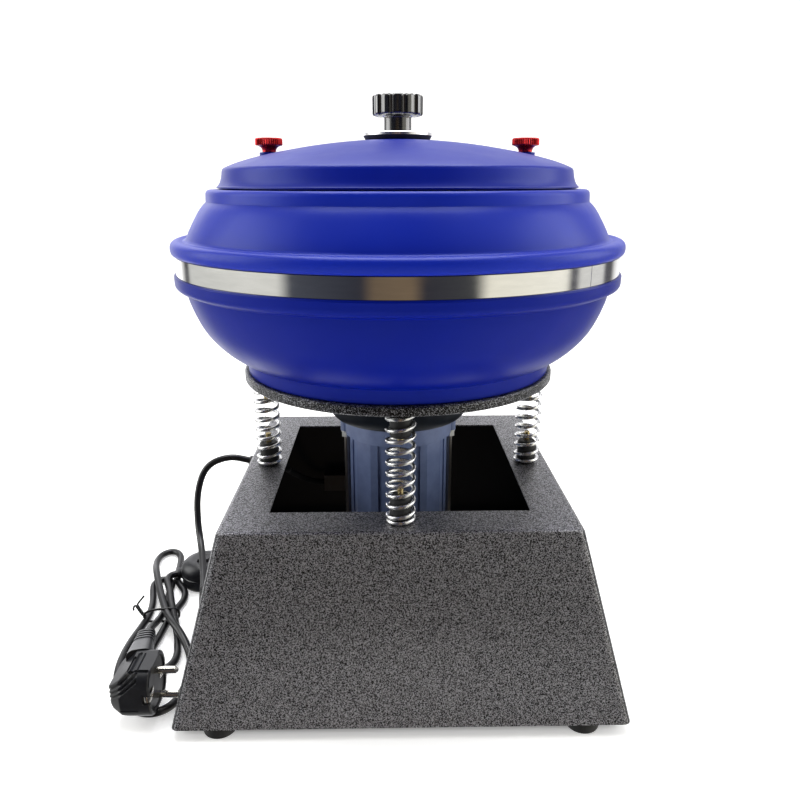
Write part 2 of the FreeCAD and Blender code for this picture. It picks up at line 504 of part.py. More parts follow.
put("plug_body", plug)
put("plug_pins", compound([Part.makeCylinder(2.4, pin_tip - 1.8 - px_face + 8.0, V(px_face - 8.0, py, pz + dz), V(1, 0, 0)).fuse(Part.makeCone(2.4, 1.2, 1.8, V(pin_tip - 1.8, py, pz + dz), V(1, 0, 0))) for dz in (-9.5, 9.5)]))

# inside lead from the gland to a terminal block on the rear wall
put("terminal_block", box(-70.0, -40.0, 119.0, 128.0, 52.0, 68.0))
rear_x = base_half_bottom - (60.0 - foot_h) * slope - t_h
put("block_bracket", box(-64.0, -46.0, 128.0, rear_x + 3.0, 57.0, 63.0).common(inner))
Q = [tuple(g0 - gn * 13.5), tuple(g0 - gn * 26.0), (-101.0, 96.0, 84.0), (-92.0, 113.0, 70.0), (-80.0, 121.5, 61.0), (-70.0, 123.5, 60.0)]
put("inner_lead", tube(Q, cord_d, "inner_lead"))

# ------------------------------------------------------------------ write
total = 0
for name, s in nodes.items():
    if not s.isValid():
        print("INVALID", name)
    s.exportStep("parts/%s.step" % name)
    total += 1
    print("%-26s solids %d  vol %9.1f  x %7.1f %7.1f  y %7.1f %7.1f  z %6.1f %6.1f" % (name, len(s.Solids), s.Volume, s.BoundBox.XMin, s.BoundBox.XMax, s.BoundBox.YMin, s.BoundBox.YMax, s.BoundBox.ZMin, s.BoundBox.ZMax))
print("nodes", total)
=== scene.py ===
import math

import bmesh
import bpy
from mathutils import Matrix, Vector


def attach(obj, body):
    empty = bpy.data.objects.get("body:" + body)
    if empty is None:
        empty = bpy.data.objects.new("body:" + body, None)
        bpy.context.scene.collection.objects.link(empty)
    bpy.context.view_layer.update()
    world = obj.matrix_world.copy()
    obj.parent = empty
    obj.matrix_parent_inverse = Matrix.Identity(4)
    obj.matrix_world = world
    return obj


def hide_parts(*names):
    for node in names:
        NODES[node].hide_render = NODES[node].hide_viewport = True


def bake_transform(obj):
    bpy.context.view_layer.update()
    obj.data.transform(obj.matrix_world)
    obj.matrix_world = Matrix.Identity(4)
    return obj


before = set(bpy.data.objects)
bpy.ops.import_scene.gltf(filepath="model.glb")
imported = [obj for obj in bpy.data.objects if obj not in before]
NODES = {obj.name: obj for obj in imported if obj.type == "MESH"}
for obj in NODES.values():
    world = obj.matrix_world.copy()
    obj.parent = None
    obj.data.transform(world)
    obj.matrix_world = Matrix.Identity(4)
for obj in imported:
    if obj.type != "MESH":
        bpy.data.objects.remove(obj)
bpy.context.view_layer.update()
MM = 0.001
scene = bpy.context.scene


# ------------------------------------------------------------------ camera
def aim_camera():
    pitch, yaw, roll = math.radians(17.144), math.radians(1.004), math.radians(-0.062)
    fw = Vector((math.sin(yaw) * math.cos(pitch), math.cos(yaw) * math.cos(pitch), -math.sin(pitch)))
    right = Vector((math.cos(yaw), -math.sin(yaw), 0.0))
    up = right.cross(fw)
    r2 = math.cos(roll) * right + math.sin(roll) * up
    u2 = -math.sin(roll) * right + math.cos(roll) * up
    data = bpy.data.cameras.new("camera")
    data.sensor_width = 36.0
    data.lens = 31.88
    data.clip_start = 0.01
    cam = bpy.data.objects.new("camera", data)
    scene.collection.objects.link(cam)
    m = Matrix((r2, u2, -fw)).transposed().to_4x4()
    m.translation = Vector((-7.6, -515.78, 339.96)) * MM
    cam.matrix_world = m
    scene.camera = cam
    return cam


camera = aim_camera()

# ------------------------------------------------------------------ cords
LEAD = [(-111.253, 79.5, 95.326), (-133.081, 79.5, 100.783), (-150.5, 78.3, 105.2), (-171.0, 74.5, 98.0), (-178.2, 66.0, 76.0),
        (-176.6, 54.0, 52.0), (-170.5, 37.5, 38.6), (-163.6, 14.0, 34.0), (-157.0, -10.0, 32.6), (-152.6, -32.0, 31.4),
        (-151.2, -43.0, 17.4), (-152.4, -32.0, 3.4), (-156.0, -8.0, 4.2), (-158.4, 13.0, 9.0)]

HANK = [(-187.0, 43.0, 9.0), (-194.6, 41.1, 9.0), (-200.4, 37.6, 9.0), (-200.6, 29.6, 9.0), (-196.6, 20.6, 9.1), (-192.0, 10.0, 9.2), (-188.0, -2.0, 9.3), (-182.8, -15.0, 9.4),
        (-178.0, -26.5, 8.2), (-174.6, -35.0, 5.2), (-171.4, -43.0, 3.1), (-168.8, -53.0, 2.9), (-166.0, -62.5, 2.9), (-165.6, -72.4, 2.9), (-169.6, -80.4, 2.9),
        (-177.2, -83.2, 2.9), (-184.0, -78.6, 2.9), (-187.0, -69.0, 2.9), (-187.0, -55.0, 2.9), (-186.0, -40.0, 2.9), (-185.4, -27.0, 2.9), (-184.6, -13.0, 2.9),
        (-182.4, -1.0, 2.9), (-180.6, 9.5, 2.9), (-182.8, 20.5, 2.9), (-189.4, 30.5, 2.9), (-196.2, 41.0, 2.9), (-198.2, 55.0, 2.9), (-200.2, 69.0, 2.9), (-202.8, 80.6, 2.9), (-208.4, 89.4, 3.0), (-216.0, 91.0, 3.1), (-221.6, 84.6, 3.4),
        (-222.8, 74.4, 4.0), (-220.2, 60.6, 5.6), (-214.8, 46.0, 8.4), (-208.6, 30.4, 9.0), (-202.0, 14.5, 9.1), (-195.4, -0.6, 9.2), (-188.6, -15.0, 9.4),
        (-182.8, -26.0, 10.4), (-176.6, -35.6, 11.2), (-169.6, -44.6, 10.4), (-162.2, -54.6, 7.2), (-156.0, -65.0, 3.6), (-152.0, -79.0, 2.9),
        (-150.6, -96.0, 2.9), (-151.4, -110.0, 2.9), (-156.4, -121.0, 2.9), (-167.0, -126.0, 2.9), (-181.0, -120.4, 2.9), (-192.4, -108.0, 2.9), (-200.4, -93.0, 2.9),
        (-204.6, -77.0, 2.9), (-206.2, -60.0, 2.9), (-205.6, -43.0, 2.9), (-203.8, -29.0, 2.9), (-202.8, -15.0, 2.9), (-204.2, -1.0, 2.9), (-207.4, 12.0, 2.9),
        (-211.4, 24.0, 2.9), (-213.8, 33.6, 2.9), (-210.4, 41.0, 2.9), (-202.4, 41.0, 2.9), (-197.2, 33.6, 2.9), (-196.8, 22.4, 2.9), (-195.2, 12.0, 2.9), (-192.8, 1.0, 2.9), (-192.0, -13.0, 3.0),
        (-192.8, -26.0, 5.0), (-192.4, -39.0, 9.6), (-189.9, -52.4, 15.0), (-186.2, -67.0, 20.1), (-182.6, -81.3, 25.1)]
CORD_D = 5.8


def cord_curve(name, pts, d):
    cu = bpy.data.curves.new(name, "CURVE")
    cu.dimensions = "3D"
    sp = cu.splines.new("NURBS")
    sp.points.add(len(pts) - 1)
    for q, p in zip(sp.points, pts):
        q.co = (p[0] * MM, p[1] * MM, p[2] * MM, 1.0)
    sp.order_u = 3
    sp.use_endpoint_u = True
    sp.resolution_u = 12
    cu.bevel_depth = d / 2 * MM
    cu.bevel_resolution = 6
    ob = bpy.data.objects.new(name, cu)
    scene.collection.objects.link(ob)
    return ob


# ------------------------------------------------------------------ mesh helpers
def obj_from(name, bm, sharp=32.0):
    bmesh.ops.recalc_face_normals(bm, faces=bm.faces)
    lim = math.radians(sharp)
    for f in bm.faces:
        f.smooth = True
    for e in bm.edges:
        if len(e.link_faces) == 2 and e.calc_face_angle(0.0) > lim:
            e.smooth = False
    me = bpy.data.meshes.new(name)
    bm.to_mesh(me)
    bm.free()
    ob = bpy.data.objects.new(name, me)
    scene.collection.objects.link(ob)
    return ob


def catmull(p, n=4):
    out = []
    for i in range(len(p) - 1):
        p0 = p[max(i - 1, 0)]; p1 = p[i]; p2 = p[i + 1]; p3 = p[min(i + 2, len(p) - 1)]
        for k in range(n):
            t = k / n
            out.append(tuple(0.5 * (2 * b + (c - a) * t + (2 * a - 5 * b + 4 * c - d) * t * t + (3 * b - a - 3 * c + d) * t ** 3)
                             for a, b, c, d in zip(p0, p1, p2, p3)))
    out.append(p[-1])
    return out


def lathe(bm, prof, n=128, centre=(0.0, 0.0), axis="z", mod=None, closed=True):
    """Turns the profile (r, h) in mm about the axis; mod(i, j, angle, r, h) may change a point's radius."""
    rings = []
    for i, (r, h) in enumerate(prof):
        if r < 1e-6:
            rings.append([bm.verts.new(place(0, 0, h, centre, axis))])
            continue
        ring = []
        for j in range(n):
            a = 2 * math.pi * j / n
            rr, hh = (r, h) if mod is None else mod(i, j, a, r, h)
            ring.append(bm.verts.new(place(rr * math.cos(a), rr * math.sin(a), hh, centre, axis)))
        rings.append(ring)
    m = len(rings)
    for i in range(m if closed else m - 1):
        a, b = rings[i], rings[(i + 1) % m]
        if len(a) == 1 and len(b) == 1:
            continue
        for j in range(n):
            k = (j + 1) % n
            if len(a) == 1:
                bm.faces.new((a[0], b[k], b[j]))
            elif len(b) == 1:
                bm.faces.new((a[j], a[k], b[0]))
            else:
                bm.faces.new((a[j], a[k], b[k], b[j]))
    return rings


def place(u, v, h, centre, axis):
    if axis == "z":
        return ((centre[0] + u) * MM, (centre[1] + v) * MM, h * MM)
    return (h * MM, (centre[0] + u) * MM, (centre[1] + v) * MM)      # axis x, centre is (y, z)


def sweep(bm, pts, radius, n=10, cap=True):
    """A round tube along points in mm; radius may be a list."""
    P = [Vector(p) for p in pts]
    rad = radius if isinstance(radius, (list, tuple)) else [radius] * len(P)
    t = (P[1] - P[0]).normalized()
    ref = Vector((0, 0, 1)) if abs(t.z) < 0.9 else Vector((1, 0, 0))
    u = (ref - t * ref.dot(t)).normalized()
    rings = []
    for i, p in enumerate(P):
        if 0 < i < len(P) - 1:
            t = (P[i + 1] - P[i - 1]).normalized()
        elif i:
            t = (P[i] - P[i - 1]).normalized()
        u = (u - t * u.dot(t)).normalized()
        v = t.cross(u)
        rings.append([bm.verts.new((p + (u * math.cos(2 * math.pi * j / n) + v * math.sin(2 * math.pi * j / n)) * rad[i]) * MM) for j in range(n)])
    for a, b in zip(rings, rings[1:]):
        for j in range(n):
            k = (j + 1) % n
            bm.faces.new((a[j], a[k], b[k], b[j]))
    if cap:
        bm.faces.new(list(reversed(rings[0])))
        bm.faces.new(rings[-1])
    return rings


# ------------------------------------------------------------------ materials
def nt(name):
    m = bpy.data.materials.new(name)
    m.use_nodes = True
    t = m.node_tree
    t.nodes.clear()
    out = t.nodes.new("ShaderNodeOutputMaterial")
    p = t.nodes.new("ShaderNodeBsdfPrincipled")
    t.links.new(p.outputs["BSDF"], out.inputs["Surface"])
    tc = t.nodes.new("ShaderNodeTexCoord")
    return m, t, p, tc.outputs["Object"]


def noise(t, vec, scale, detail=2.0, rough=0.5, dist=0.0):
    n = t.nodes.new("ShaderNodeTexNoise")
    n.inputs["Scale"].default_value = scale
    n.inputs["Detail"].default_value = detail
    n.inputs["Roughness"].default_value = rough
    n.inputs["Distortion"].default_value = dist
    t.links.new(vec, n.inputs["Vector"])
    return n.outputs["Fac"]


def voronoi(t, vec, scale, feature="F1", out="Distance"):
    n = t.nodes.new("ShaderNodeTexVoronoi")
    n.feature = feature
    n.inputs["Scale"].default_value = scale
    t.links.new(vec, n.inputs["Vector"])
    return n.outputs[out]


def ramp(t, fac, stops):
    n = t.nodes.new("ShaderNodeValToRGB")
    el = n.color_ramp.elements
    while len(el) < len(stops):
        el.new(0.5)
    for e, (pos, col) in zip(el, stops):
        e.position = pos
        e.color = (*col, 1.0) if len(col) == 3 else col
    t.links.new(fac, n.inputs["Fac"])
    return n.outputs["Color"]


def rng(t, fac, lo, hi, a=0.0, b=1.0):
    n = t.nodes.new("ShaderNodeMapRange")
    n.inputs["From Min"].default_value = a
    n.inputs["From Max"].default_value = b
    n.inputs["To Min"].default_value = lo
    n.inputs["To Max"].default_value = hi
    t.links.new(fac, n.inputs["Value"])
    return n.outputs["Result"]


def stretch(t, vec, sx, sy, sz):
    n = t.nodes.new("ShaderNodeMapping")
    n.inputs["Scale"].default_value = (sx, sy, sz)
    t.links.new(vec, n.inputs["Vector"])
    return n.outputs["Vector"]


def math2(t, op, a, b):
    n = t.nodes.new("ShaderNodeMath")
    n.operation = op
    for i, v in enumerate((a, b)):
        if isinstance(v, (int, float)):
            n.inputs[i].default_value = v
        else:
            t.links.new(v, n.inputs[i])
    return n.outputs["Value"]


def bump(t, p, height, strength, dist_mm):
    n = t.nodes.new("ShaderNodeBump")
    n.inputs["Strength"].default_value = strength
    n.inputs["Distance"].default_value = dist_mm * MM
    t.links.new(height, n.inputs["Height"])
    t.links.new(n.outputs["Normal"], p.inputs["Normal"])


def setp(p, **kw):
    for k, v in kw.items():
        key = {"metal": "Metallic", "rough": "Roughness", "spec": "Specular IOR Level", "coat": "Coat Weight", "coat_rough": "Coat Roughness",
               "sheen": "Sheen Weight", "sheen_rough": "Sheen Roughness", "aniso": "Anisotropic", "ior": "IOR"}[k]
        if key in p.inputs:
            p.inputs[key].default_value = v


def tex_mat(name, c0, c1, r0, r1, scale=300.0, detail=3.0, bump_s=0.2, bump_d=0.1, bump_scale=None, metal=0.0, stretchv=None, **kw):
    """Two close tones, a varying roughness and a fine relief, all from noise in object space."""
    m, t, p, vec = nt(name)
    v = stretch(t, vec, *stretchv) if stretchv else vec
    f = noise(t, v, scale, detail, 0.6)
    t.links.new(ramp(t, f, [(0.3, c0), (0.7, c1)]), p.inputs["Base Color"])
    f2 = noise(t, v, scale * 0.37, 4.0, 0.6)
    t.links.new(rng(t, f2, r0, r1, 0.3, 0.7), p.inputs["Roughness"])
    f3 = noise(t, v, bump_scale or scale * 2, 2.0, 0.5)
    bump(t, p, f3, bump_s, bump_d)
    setp(p, metal=metal, **kw)
    return m


MAT = {}


def build_materials():
    # moulded polyurethane, satin blue; the upper shell's copy has a lighter blue as painted light, and the lower
    # shell's copy a deeper blue as painted shade, with less specular
    for key, c0, c1, sp in (("blue", (0.0020, 0.0090, 0.235), (0.0030, 0.0120, 0.272), 0.26),
                            ("blue_painted_lit", (0.0036, 0.0150, 0.300), (0.0050, 0.0190, 0.345), 0.26),
                            ("blue_painted_shade", (0.0012, 0.0070, 0.185), (0.0020, 0.0095, 0.215), 0.14)):
        m, t, p, vec = nt(key + "_polyurethane")
        f = noise(t, vec, 14.0, 3.0, 0.55)
        t.links.new(ramp(t, f, [(0.25, c0), (0.75, c1)]), p.inputs["Base Color"])
        f2 = noise(t, vec, 40.0, 4.0, 0.6)
        t.links.new(rng(t, f2, 0.33, 0.40, 0.3, 0.7), p.inputs["Roughness"])
        f3 = noise(t, vec, 900.0, 3.0, 0.6)
        bump(t, p, f3, 0.16, 0.06)
        setp(p, spec=sp)
        p.inputs["Specular Tint"].default_value = (0.52, 0.66, 1.0, 1.0)
        MAT[key] = m
    MAT["blue_seal"] = tex_mat("blue_seal", (0.0010, 0.0040, 0.085), (0.0018, 0.0060, 0.110), 0.45, 0.60, scale=220.0, bump_s=0.25, bump_d=0.08, bump_scale=800.0, spec=0.2)
    # a darker copy of the cord sheath for the lead inside the base: painted shade for its dark surroundings
    MAT["lead_painted_shade"] = tex_mat("lead_sheath_painted_shade", (0.0020, 0.0020, 0.0025), (0.0040, 0.0040, 0.0050), 0.75, 0.90, scale=160.0, bump_s=0.18, bump_d=0.08, bump_scale=420.0, spec=0.08)

    # hammertone paint: pale worm-like ridges over a dark ground, metal flake
    def hammer(name, dark, light, scale, bs, rough=(0.34, 0.5), thr=(0.462, 0.560), metal=0.6, paint_inner_shade=False, coat=0.2):
        m, t, p, vec = nt(name)
        warp = noise(t, vec, scale * 0.5, 2.0, 0.5)
        a = noise(t, vec, scale, 1.2, 0.45, 0.7)
        b = noise(t, vec, scale * 2.1, 2.0, 0.6)
        h = math2(t, "ADD", math2(t, "MULTIPLY", a, 0.66), math2(t, "MULTIPLY", b, 0.34))
        col = ramp(t, h, [(thr[0], dark), (0.5, tuple((x + y) * 0.40 for x, y in zip(dark, light))), (thr[1], light)])
        if paint_inner_shade:
            # the inner faces of the pressed box get a near-black navy, painted shade for the dark interior, and full
            # roughness
            sep = t.nodes.new("ShaderNodeSeparateXYZ")
            t.links.new(vec, sep.inputs[0])
            half = math2(t, "SUBTRACT", 0.147, math2(t, "MULTIPLY", math2(t, "SUBTRACT", sep.outputs["Z"], 0.008), 0.25))
            far = math2(t, "MAXIMUM", math2(t, "ABSOLUTE", sep.outputs["X"], 0.0), math2(t, "ABSOLUTE", sep.outputs["Y"], 0.0))
            deep = math2(t, "SUBTRACT", half, far)
            m1 = rng(t, deep, 0.0, 1.0, 0.0009, 0.0013)
            m2 = rng(t, sep.outputs["Z"], 1.0, 0.0, 0.1288, 0.1294)
            inner_shade_mask = math2(t, "MULTIPLY", m1, m2)
            mx = t.nodes.new("ShaderNodeMix")
            mx.data_type = "RGBA"
            t.links.new(inner_shade_mask, mx.inputs["Factor"])
            t.links.new(col, mx.inputs["A"])
            t.links.new(ramp(t, b, [(0.3, (0.0008, 0.0014, 0.0040)), (0.7, (0.0015, 0.0026, 0.0070))]), mx.inputs["B"])
            col = mx.outputs["Result"]
        t.links.new(col, p.inputs["Base Color"])
        rgh = rng(t, warp, rough[0], rough[1], 0.3, 0.7)
        if paint_inner_shade:
            rgh = math2(t, "MAXIMUM", rgh, math2(t, "MULTIPLY", inner_shade_mask, 0.95))
        t.links.new(rgh, p.inputs["Roughness"])
        bump(t, p, h, bs, 0.35)
        setp(p, metal=metal, spec=0.7, coat=coat, coat_rough=0.22)
        return m
    # the base shell's grey carries a painted shade on its inner faces
    MAT["hammer"] = hammer("hammertone_grey", (0.003, 0.003, 0.004), (0.375, 0.370, 0.390), 1350.0, 0.60, paint_inner_shade=True)
    MAT["plate"] = hammer("hammertone_plate", (0.0010, 0.0010, 0.0014), (0.34, 0.34, 0.36), 1500.0, 0.9, (0.24, 0.40), (0.555, 0.635), 0.6, coat=0.10)

    MAT["band"] = tex_mat("stainless_polished", (0.80, 0.79, 0.77), (0.86, 0.85, 0.83), 0.07, 0.13, scale=60.0, bump_s=0.10, bump_d=0.05, bump_scale=30.0, metal=1.0, stretchv=(1, 1, 6))
    MAT["spring"] = tex_mat("spring_steel", (0.78, 0.78, 0.78), (0.92, 0.92, 0.92), 0.20, 0.32, scale=260.0, bump_s=0.12, bump_d=0.05, metal=1.0)
    MAT["zinc"] = tex_mat("zinc_steel", (0.56, 0.57, 0.58), (0.74, 0.75, 0.76), 0.22, 0.38, scale=300.0, bump_s=0.15, bump_d=0.05, metal=1.0)
    MAT["yellow"] = tex_mat("yellow_zinc", (0.62, 0.47, 0.20), (0.80, 0.68, 0.40), 0.22, 0.38, scale=200.0, bump_s=0.15, bump_d=0.05, metal=1.0)
    MAT["rod"] = tex_mat("rod_steel", (0.20, 0.18, 0.17), (0.42, 0.40, 0.38), 0.25, 0.45, scale=120.0, bump_s=0.2, bump_d=0.08, metal=1.0, stretchv=(1, 1, 0.2))
    MAT["chrome"] = tex_mat("washer_chrome", (0.86, 0.86, 0.87), (0.94, 0.94, 0.95), 0.22, 0.34, scale=120.0, bump_s=0.06, bump_d=0.03, metal=1.0)
    MAT["motor"] = tex_mat("motor_paint", (0.122, 0.163, 0.315), (0.162, 0.215, 0.392), 0.30, 0.42, scale=90.0, bump_s=0.3, bump_d=0.12, bump_scale=260.0, coat=0.2, coat_rough=0.25)
    MAT["bell"] = tex_mat("bell_paint", (0.003, 0.005, 0.010), (0.006, 0.009, 0.016), 0.36, 0.48, scale=120.0, bump_s=0.35, bump_d=0.15, bump_scale=300.0, spec=0.20)
    MAT["rubber"] = tex_mat("rubber_black", (0.008, 0.008, 0.009), (0.018, 0.018, 0.019), 0.50, 0.68, scale=220.0, bump_s=0.35, bump_d=0.12, bump_scale=700.0)
    MAT["gasket"] = tex_mat("gasket_black", (0.008, 0.008, 0.009), (0.016, 0.016, 0.017), 0.48, 0.62, scale=260.0, bump_s=0.3, bump_d=0.1, bump_scale=800.0)
    MAT["knob"] = tex_mat("knob_black", (0.006, 0.006, 0.007), (0.010, 0.010, 0.011), 0.12, 0.22, scale=70.0, bump_s=0.08, bump_d=0.05, bump_scale=160.0, spec=1.0, coat=1.0, coat_rough=0.10)
    MAT["brass"] = tex_mat("brass", (0.60, 0.42, 0.16), (0.74, 0.55, 0.24), 0.22, 0.36, scale=240.0, bump_s=0.15, bump_d=0.05, metal=1.0)
    MAT["red"] = tex_mat("red_anodised", (0.46, 0.004, 0.008), (0.62, 0.010, 0.014), 0.22, 0.34, scale=300.0, bump_s=0.12, bump_d=0.04, metal=0.75, coat=0.25, coat_rough=0.15)
    MAT["cord"] = tex_mat("cord_black", (0.0045, 0.0045, 0.0055), (0.009, 0.009, 0.011), 0.26, 0.36, scale=160.0, bump_s=0.18, bump_d=0.08, bump_scale=420.0, spec=0.45)
    MAT["plastic"] = tex_mat("plastic_black", (0.0055, 0.006, 0.0085), (0.010, 0.011, 0.0145), 0.30, 0.42, scale=150.0, bump_s=0.30, bump_d=0.10, bump_scale=1100.0, spec=0.5)
    MAT["nickel"] = tex_mat("nickel", (0.70, 0.68, 0.62), (0.84, 0.82, 0.76), 0.10, 0.22, scale=180.0, bump_s=0.08, bump_d=0.03, metal=1.0)
    MAT["copper"] = tex_mat("copper", (0.45, 0.16, 0.07), (0.62, 0.26, 0.12), 0.25, 0.40, scale=900.0, bump_s=0.5, bump_d=0.3, bump_scale=1200.0, metal=0.9, stretchv=(1, 1, 0.3))
    MAT["bearing"] = tex_mat("bearing_steel", (0.45, 0.45, 0.46), (0.60, 0.60, 0.61), 0.15, 0.30, scale=260.0, bump_s=0.1, bump_d=0.04, metal=1.0)
    # stacked sheets, seen as fine level lines
    m, t, p, vec = nt("laminated_steel")
    w = t.nodes.new("ShaderNodeTexWave")
    w.bands_direction = "Z"
    w.inputs["Scale"].default_value = 300.0
    w.inputs["Distortion"].default_value = 0.3
    t.links.new(vec, w.inputs["Vector"])
    t.links.new(ramp(t, w.outputs["Fac"], [(0.3, (0.14, 0.14, 0.15)), (0.7, (0.34, 0.34, 0.35))]), p.inputs["Base Color"])
    t.links.new(rng(t, noise(t, vec, 200.0), 0.3, 0.5, 0.3, 0.7), p.inputs["Roughness"])
    bump(t, p, w.outputs["Fac"], 0.3, 0.1)
    setp(p, metal=0.8)
    MAT["lam"] = m


build_materials()

LOOK = {
    "blue": ["bowl_core", "lid"],
    # bowl_upper takes the lighter blue copy (painted light), bowl_lower the deeper blue copy (painted shade)
    "blue_painted_lit": ["bowl_upper"],
    "blue_painted_shade": ["bowl_lower"],
    "blue_seal": ["lid_seal"],
    "lead_painted_shade": ["inner_lead"],
    "hammer": ["base_shell", "block_bracket"],
    "plate": ["support_plate", "plate_hub"],
    "band": ["clamp_band"],
    "spring": ["spring_right", "spring_rear", "spring_left", "spring_front"],
    "zinc": ["tie_rod_nuts", "foot_screws", "foot_nuts", "lower_spring_nuts", "tie_rod_washers", "bell_screws", "rod_nut", "center_rod", "weight_set_screws"],
    "yellow": ["lower_spring_bolts", "upper_spring_bolts"],
    "rod": ["tie_rods"],
    "chrome": ["lid_steel_washer"],
    "motor": ["motor_housing", "motor_top_cover", "motor_bottom_cover"],
    "bell": ["motor_bell", "upper_eccentric_weight", "lower_eccentric_weight"],
    "rubber": ["feet", "lower_spring_seats", "upper_spring_seats", "lid_rubber_washer", "cable_gland"],
    "gasket": ["rim_gasket"],
    "knob": ["knob"],
    "brass": ["knob_insert"],
    "red": ["thumb_screw_left", "thumb_screw_right"],
    "cord": ["cord_lead", "cord_hank", "wire_tie"],
    "plastic": ["plug_body", "switch_housing", "switch_rocker", "terminal_block"],
    "nickel": ["plug_pins"],
    "copper": ["motor_windings"],
    "bearing": ["upper_bearing", "lower_bearing", "rotor_shaft"],
    "lam": ["motor_stator", "rotor_core"],
}
done = set()
for key, names in LOOK.items():
    for nm in names:
        ob = NODES[nm]
        ob.data.materials.clear()
        ob.data.materials.append(MAT[key])
        done.add(nm)
left = sorted(set(NODES) - done)
if left:
    raise RuntimeError("no look for " + ", ".join(left))


def finish_piece(ob, mat, body, *replaced, slot=None):
    if ob.type == "MESH":
        ob.data.materials.append(MAT[mat])
    else:
        ob.data.materials.append(MAT[mat])
    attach(ob, body)
    if replaced:
        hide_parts(*replaced)
    return ob


# ------------------------------------------------------------------ springs
def spring(name, x, y, turn):
    z0, z1, wire, mean = 130.0, 206.0, 1.3, 8.5
    n_end, n_mid = 1.0, 9.2
    lo, hi = z0 + wire + 0.05, z1 - wire - 0.05
    dead = 2.9
    total = n_end * 2 + n_mid
    pitch = (hi - lo - 2 * dead * n_end) / n_mid
    pts = []
    steps = int(total * 28)
    for i in range(steps + 1):
        q = total * i / steps
        if q < n_end:
            z = lo + dead * q
        elif q > total - n_end:
            z = hi - dead * (total - q)
        else:
            z = lo + dead * n_end + pitch * (q - n_end)
        a = 2 * math.pi * q + turn
        pts.append((x + mean * math.cos(a), y + mean * math.sin(a), z))
    # ease the change of pitch
    zs = [p[2] for p in pts]
    for _ in range(12):
        zs = [zs[0]] + [(zs[i - 1] + 2 * zs[i] + zs[i + 1]) / 4 for i in range(1, len(zs) - 1)] + [zs[-1]]
    pts = [(p[0], p[1], z) for p, z in zip(pts, zs)]
    bm = bmesh.new()
    sweep(bm, pts, wire, 12)
    ob = obj_from(name, bm, 50)
    ob.data.materials.append(MAT["spring"])
    return ob


for nm, (x, y), turn in (("right", (100, 0), 0.4), ("rear", (0, 100), 2.0), ("left", (-100, 0), 1.2), ("front", (0, -100), 3.4)):
    ob = spring("coil_" + nm, x, y, turn)
    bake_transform(ob)
    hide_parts("spring_" + nm)

# ------------------------------------------------------------------ knob, washers, screws
def smooth01(x):
    x = max(0.0, min(1.0, x))
    return x * x * (3 - 2 * x)


def star_knob():
    prof = [(6.5, 371.9), (9.2, 371.9), (9.5, 372.2), (9.5, 380.6), (9.7, 381.4), (10.4, 381.9), (13.0, 382.0), (15.2, 382.05), (16.5, 382.4), (17.1, 383.1), (17.25, 384.0),
            (17.25, 386.5), (17.25, 389.0), (17.25, 391.5), (17.25, 393.6), (17.1, 394.4), (16.6, 395.0), (15.8, 395.4), (14.6, 395.5), (13.2, 395.5), (12.6, 395.3), (12.2, 394.9),
            (6.0, 394.7), (0.0, 394.7), (0.0, 391.0), (6.5, 391.0)]

    def flute(i, j, a, r, h):
        if r < 12.9 or h < 381.95:
            return r, h
        best = min(abs((a - math.radians(30 * k + 15) + math.pi) % (2 * math.pi) - math.pi) for k in range(12))
        arc = best * 17.25
        g = math.sqrt(max(0.0, 1 - (arc / 2.15) ** 2)) if arc < 2.15 else 0.0
        lobe = 0.35 * (arc / 4.5) ** 2 - 0.35
        w = smooth01((r - 12.9) / 3.2)
        return r - w * (2.0 * g) + w * max(-0.35, min(0.0, lobe)) * 0.8, h
    bm = bmesh.new()
    lathe(bm, prof, 288, mod=flute)
    return obj_from("star_knob", bm, 38)


finish_piece(star_knob(), "knob", "knob", "knob", slot="knob_black")


def rubber_washer():
    bm = bmesh.new()
    lathe(bm, [(4.6, 366.7), (21.3, 366.6), (21.8, 366.8), (22.3, 367.6), (22.9, 368.6), (23.3, 369.2), (23.2, 369.5), (22.8, 369.6), (4.6, 369.6)], 128)
    return obj_from("taper_washer", bm, 40)


finish_piece(rubber_washer(), "rubber", "lid", "lid_rubber_washer", slot="rubber_black")


def thumb_screw(name, x):
    prof = [(0.0, 349.5), (1.8, 349.5)]
    z = 350.0
    while z < 358.4:
        prof += [(2.5, z), (2.5, z + 0.15), (2.1, z + 0.4), (2.1, z + 0.55)]
        z += 0.8
    prof += [(2.4, 359.2), (4.5, 359.3), (4.7, 359.5), (4.7, 360.1)] + catmull([(4.72, 360.3), (5.0, 361.2), (5.7, 362.2), (7.0, 363.0), (8.3, 363.4)], 3)
    prof += [(8.8, 363.5), (9.15, 363.8), (9.25, 364.1)] + [(9.25, 364.1 + 0.4 * k) for k in range(1, 9)] + [(9.15, 367.7), (8.8, 368.1), (8.3, 368.3), (6.6, 368.3), (6.2, 368.0), (0.0, 367.9)]

    def knurl(i, j, a, r, h):
        if r < 9.0:
            return r, h
        t = 40
        w = (a * t / (2 * math.pi)) % 1.0
        tooth = abs(2 * w - 1)
        return r - 0.42 * tooth, h
    bm = bmesh.new()
    lathe(bm, prof, 160, centre=(x, 0.0), mod=knurl)
    return obj_from(name, bm, 40)


finish_piece(thumb_screw("knurled_screw_left", -88.0), "red", "thumb_screw_left", "thumb_screw_left", slot="red_anodised")
finish_piece(thumb_screw("knurled_screw_right", 88.0), "red", "thumb_screw_right", "thumb_screw_right", slot="red_anodised")


